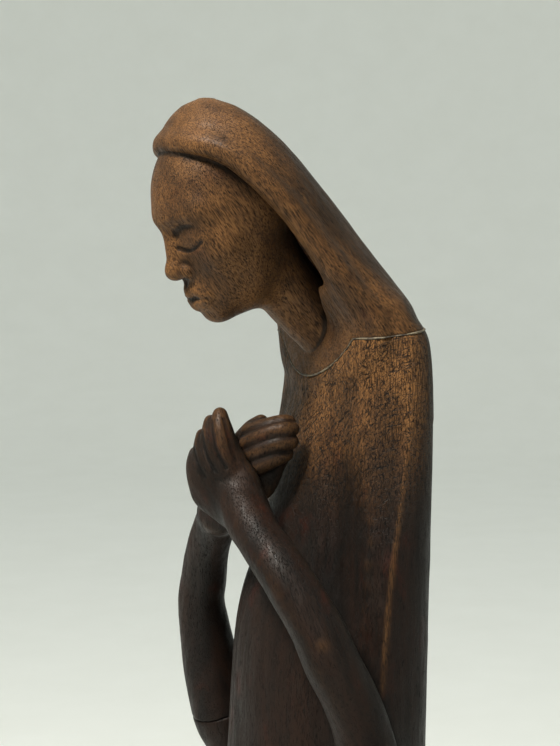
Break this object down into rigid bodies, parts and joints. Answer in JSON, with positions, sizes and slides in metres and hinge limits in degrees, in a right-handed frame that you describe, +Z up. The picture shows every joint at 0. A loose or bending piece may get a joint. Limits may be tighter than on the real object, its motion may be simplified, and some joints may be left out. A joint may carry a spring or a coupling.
{
  "type": "madonna statue",
  "caption": "Slender carved-wood statuette of a veiled woman with bowed head and joined hands, standing on a low oval plinth; a devotional figure for a shelf or table.",
  "frame": {"origin": "on the table, at the centre of the footprint of the whole statue's bounding box", "axes": "+Z up; the figure looks along -Y; the figure's left side is +X"},
  "size_m": [0.0746, 0.0559, 0.32],
  "materials": {
    "carved_wood": "waxed dark hardwood, semi-gloss, golden on worn edges",
    "plinth_wood": "waxed dark hardwood, semi-gloss",
    "dowel_wood": "plain turned hardwood, unfinished",
    "glue": "dried wood glue and pale filler, matte",
    "screw_steel": "plain slotted wood screw"
  },
  "bodies": {
    "root": {"plinth": "plinth_wood", "body": "carved_wood", "head_and_veil": "carved_wood", "left_arm": "carved_wood", "right_arm": "carved_wood", "shoulder_glue_line": "glue", "neck_dowel_left": "dowel_wood", "neck_dowel_right": "dowel_wood", "left_arm_dowel": "dowel_wood", "right_arm_dowel": "dowel_wood", "base_screw_left": "screw_steel", "base_screw_right": "screw_steel"}
  },
  "joints": []
}
